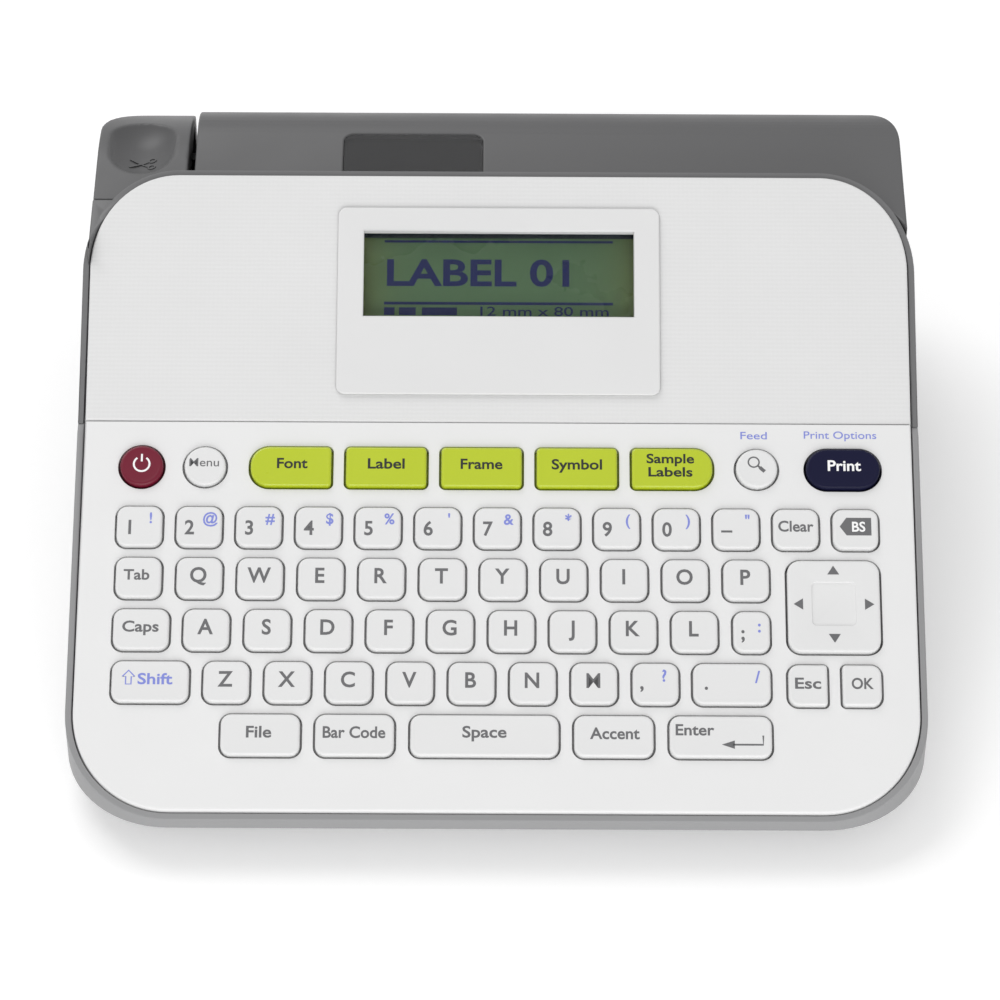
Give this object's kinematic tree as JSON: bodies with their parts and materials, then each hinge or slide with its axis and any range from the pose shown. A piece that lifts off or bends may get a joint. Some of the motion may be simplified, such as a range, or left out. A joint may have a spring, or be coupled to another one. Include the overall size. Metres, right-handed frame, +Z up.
{
  "type": "label maker",
  "caption": "Desktop label maker with a sloping keyboard, liquid crystal display, rear tape hatch with a window and a corner cutter lever.",
  "frame": {"origin": "on the table under the centre of the case", "axes": "+X to the user's right, +Y away from the user, +Z up"},
  "size_m": [0.188, 0.178, 0.0715],
  "materials": {
    "grey_case": "fine moulded texture",
    "dark_grey_cover": "fine moulded texture",
    "white_cover": "smooth satin",
    "textured_panel": "fine ruled lines",
    "white_key": "satin with printed legends",
    "lime_key": "satin gloss",
    "maroon_key": "gloss",
    "navy_key": "gloss",
    "clear_lens": "clear, gloss",
    "lcd": "reflective liquid crystal",
    "smoked_window": "clear, gloss",
    "steel": "bright",
    "aluminium": "plain",
    "brass": "plain",
    "dark_chassis": "moulded",
    "black_plastic": "moulded",
    "gear_plastic": "acetal",
    "circuit_board": "solder mask",
    "silicone": "moulded",
    "foot_rubber": "moulded",
    "platen_rubber": "ground"
  },
  "bodies": {
    "case": {"lower_case": "grey_case", "rear_frame": "grey_case", "keyboard_cover": "white_cover", "display_cover": "textured_panel", "display_bezel": "white_cover", "display_lens": "clear_lens", "lcd_module": "lcd", "hinge_pins": "steel", "lever_pin": "steel", "lever_spring": "steel", "fixed_blade": "steel", "tape_chassis": "dark_chassis", "print_head": "dark_chassis", "heat_sink": "aluminium", "drive_motor": "steel", "main_board": "circuit_board", "key_board": "circuit_board", "dome_sheet": "silicone", "battery_contacts": "steel", "inlet_jack": "black_plastic", "rubber_feet": "foot_rubber", "case_screws": "steel"},
    "tape_hatch": {"cassette_cover": "dark_grey_cover", "cover_window": "smoked_window"},
    "cutter_press": {"cutter_lever": "dark_grey_cover"},
    "cutter_slide": {"blade_carriage": "black_plastic", "cutter_blade": "steel"},
    "battery_door": {"battery_cover": "grey_case"},
    "idler": {"idler_gear": "gear_plastic"},
    "platen": {"platen_roller": "platen_rubber", "platen_gear": "gear_plastic"},
    "ribbon_drive": {"ribbon_spindle": "gear_plastic"},
    "pinion": {"motor_pinion": "brass"},
    "cursor_rocker": {"cursor_pad": "white_key"},
    "power_key_body": {"power_key": "maroon_key"},
    "menu_key_body": {"menu_key": "white_key"},
    "font_key_body": {"font_key": "lime_key"},
    "label_key_body": {"label_key": "lime_key"},
    "frame_key_body": {"frame_key": "lime_key"},
    "symbol_key_body": {"symbol_key": "lime_key"},
    "sample_key_body": {"sample_key": "lime_key"},
    "preview_key_body": {"preview_key": "white_key"},
    "print_key_body": {"print_key": "navy_key"},
    "clear_key_body": {"clear_key": "white_key"},
    "backspace_key_body": {"backspace_key": "white_key"},
    "tab_key_body": {"tab_key": "white_key"},
    "caps_key_body": {"caps_key": "white_key"},
    "shift_key_body": {"shift_key": "white_key"},
    "file_key_body": {"file_key": "white_key"},
    "barcode_key_body": {"barcode_key": "white_key"},
    "space_key_body": {"space_key": "white_key"},
    "accent_key_body": {"accent_key": "white_key"},
    "enter_key_body": {"enter_key": "white_key"},
    "escape_key_body": {"escape_key": "white_key"},
    "ok_key_body": {"ok_key": "white_key"},
    "number_keys_body": {"number_keys": "white_key"},
    "upper_letter_keys_body": {"upper_letter_keys": "white_key"},
    "middle_letter_keys_body": {"middle_letter_keys": "white_key"},
    "lower_letter_keys_body": {"lower_letter_keys": "white_key"}
  },
  "joints": [
    {"name": "hatch_hinge", "type": "hinge", "parent": "case", "child": "tape_hatch", "pos_m": [0, 0.0858, 0.02], "axis": [-1, 0, 0], "range_deg": [0, 90]},
    {"name": "cutter_press_hinge", "type": "hinge", "parent": "case", "child": "cutter_press", "pos_m": [0, 0.05801, 0.056], "axis": [-1, 0, 0], "range_deg": [0, 10], "stiffness_Nm_per_rad": 0.3, "springref_deg": -6.88},
    {"name": "blade_slide", "type": "slide", "parent": "case", "child": "cutter_slide", "axis": [1, 0, 0], "range_m": [0, 0.0027]},
    {"name": "battery_door_hinge", "type": "hinge", "parent": "case", "child": "battery_door", "pos_m": [0, 0.0084, 0.0027], "axis": [1, 0, 0], "range_deg": [0, 95]},
    {"name": "idler_spin", "type": "hinge", "parent": "case", "child": "idler", "pos_m": [-0.05514, 0.05, 0.02641], "axis": [0, 1, 0], "continuous": true},
    {"name": "platen_spin", "type": "hinge", "parent": "case", "child": "platen", "pos_m": [-0.076, 0.05, 0.032], "axis": [0, 1, 0], "continuous": true},
    {"name": "ribbon_spin", "type": "hinge", "parent": "case", "child": "ribbon_drive", "pos_m": [-0.04387, 0.05, 0.0476], "axis": [0, 1, 0], "continuous": true},
    {"name": "pinion_spin", "type": "hinge", "parent": "case", "child": "pinion", "pos_m": [-0.03623, 0.05, 0.02974], "axis": [0, 1, 0], "continuous": true},
    {"name": "power_key_press", "type": "slide", "parent": "case", "child": "power_key_body", "axis": [0, 0.3584, -0.9336], "range_m": [0, 0.0008], "stiffness_N_per_m": 150, "springref_m": -0.002},
    {"name": "menu_key_press", "type": "slide", "parent": "case", "child": "menu_key_body", "axis": [0, 0.3584, -0.9336], "range_m": [0, 0.0008], "stiffness_N_per_m": 150, "springref_m": -0.002},
    {"name": "font_key_press", "type": "slide", "parent": "case", "child": "font_key_body", "axis": [0, 0.3584, -0.9336], "range_m": [0, 0.0008], "stiffness_N_per_m": 150, "springref_m": -0.002},
    {"name": "label_key_press", "type": "slide", "parent": "case", "child": "label_key_body", "axis": [0, 0.3584, -0.9336], "range_m": [0, 0.0008], "stiffness_N_per_m": 150, "springref_m": -0.002},
    {"name": "frame_key_press", "type": "slide", "parent": "case", "child": "frame_key_body", "axis": [0, 0.3584, -0.9336], "range_m": [0, 0.0008], "stiffness_N_per_m": 150, "springref_m": -0.002},
    {"name": "symbol_key_press", "type": "slide", "parent": "case", "child": "symbol_key_body", "axis": [0, 0.3584, -0.9336], "range_m": [0, 0.0008], "stiffness_N_per_m": 150, "springref_m": -0.002},
    {"name": "sample_key_press", "type": "slide", "parent": "case", "child": "sample_key_body", "axis": [0, 0.3584, -0.9336], "range_m": [0, 0.0008], "stiffness_N_per_m": 150, "springref_m": -0.002},
    {"name": "preview_key_press", "type": "slide", "parent": "case", "child": "preview_key_body", "axis": [0, 0.3584, -0.9336], "range_m": [0, 0.0008], "stiffness_N_per_m": 150, "springref_m": -0.002},
    {"name": "print_key_press", "type": "slide", "parent": "case", "child": "print_key_body", "axis": [0, 0.3584, -0.9336], "range_m": [0, 0.0008], "stiffness_N_per_m": 150, "springref_m": -0.002},
    {"name": "clear_key_press", "type": "slide", "parent": "case", "child": "clear_key_body", "axis": [0, 0.3584, -0.9336], "range_m": [0, 0.0008], "stiffness_N_per_m": 150, "springref_m": -0.002},
    {"name": "backspace_key_press", "type": "slide", "parent": "case", "child": "backspace_key_body", "axis": [0, 0.3584, -0.9336], "range_m": [0, 0.0008], "stiffness_N_per_m": 150, "springref_m": -0.002},
    {"name": "tab_key_press", "type": "slide", "parent": "case", "child": "tab_key_body", "axis": [0, 0.3584, -0.9336], "range_m": [0, 0.0008], "stiffness_N_per_m": 150, "springref_m": -0.002},
    {"name": "caps_key_press", "type": "slide", "parent": "case", "child": "caps_key_body", "axis": [0, 0.3584, -0.9336], "range_m": [0, 0.0008], "stiffness_N_per_m": 150, "springref_m": -0.002},
    {"name": "shift_key_press", "type": "slide", "parent": "case", "child": "shift_key_body", "axis": [0, 0.3584, -0.9336], "range_m": [0, 0.0008], "stiffness_N_per_m": 150, "springref_m": -0.002},
    {"name": "file_key_press", "type": "slide", "parent": "case", "child": "file_key_body", "axis": [0, 0.3584, -0.9336], "range_m": [0, 0.0008], "stiffness_N_per_m": 150, "springref_m": -0.002},
    {"name": "barcode_key_press", "type": "slide", "parent": "case", "child": "barcode_key_body", "axis": [0, 0.3584, -0.9336], "range_m": [0, 0.0008], "stiffness_N_per_m": 150, "springref_m": -0.002},
    {"name": "space_key_press", "type": "slide", "parent": "case", "child": "space_key_body", "axis": [0, 0.3584, -0.9336], "range_m": [0, 0.0008], "stiffness_N_per_m": 150, "springref_m": -0.002},
    {"name": "accent_key_press", "type": "slide", "parent": "case", "child": "accent_key_body", "axis": [0, 0.3584, -0.9336], "range_m": [0, 0.0008], "stiffness_N_per_m": 150, "springref_m": -0.002},
    {"name": "enter_key_press", "type": "slide", "parent": "case", "child": "enter_key_body", "axis": [0, 0.3584, -0.9336], "range_m": [0, 0.0008], "stiffness_N_per_m": 150, "springref_m": -0.002},
    {"name": "escape_key_press", "type": "slide", "parent": "case", "child": "escape_key_body", "axis": [0, 0.3584, -0.9336], "range_m": [0, 0.0008], "stiffness_N_per_m": 150, "springref_m": -0.002},
    {"name": "ok_key_press", "type": "slide", "parent": "case", "child": "ok_key_body", "axis": [0, 0.3584, -0.9336], "range_m": [0, 0.0008], "stiffness_N_per_m": 150, "springref_m": -0.002},
    {"name": "number_keys_press", "type": "slide", "parent": "case", "child": "number_keys_body", "axis": [0, 0.3584, -0.9336], "range_m": [0, 0.0008], "stiffness_N_per_m": 150, "springref_m": -0.002},
    {"name": "upper_letter_keys_press", "type": "slide", "parent": "case", "child": "upper_letter_keys_body", "axis": [0, 0.3584, -0.9336], "range_m": [0, 0.0008], "stiffness_N_per_m": 150, "springref_m": -0.002},
    {"name": "middle_letter_keys_press", "type": "slide", "parent": "case", "child": "middle_letter_keys_body", "axis": [0, 0.3584, -0.9336], "range_m": [0, 0.0008], "stiffness_N_per_m": 150, "springref_m": -0.002},
    {"name": "lower_letter_keys_press", "type": "slide", "parent": "case", "child": "lower_letter_keys_body", "axis": [0, 0.3584, -0.9336], "range_m": [0, 0.0008], "stiffness_N_per_m": 150, "springref_m": -0.002},
    {"name": "cursor_rock", "type": "hinge", "parent": "case", "child": "cursor_rocker", "pos_m": [0.074, -0.04197, 0.0263], "axis": [1, 0, 0], "range_deg": [-2.5, 2.5], "stiffness_Nm_per_rad": 0.03}
  ],
  "couplings": [
    {"joint": "blade_slide", "follows": "cutter_press_hinge", "m_per_rad": 0.014897},
    {"joint": "platen_spin", "follows": "idler_spin", "ratio": -2},
    {"joint": "ribbon_spin", "follows": "idler_spin", "ratio": -1.5},
    {"joint": "pinion_spin", "follows": "idler_spin", "ratio": -3}
  ]
}
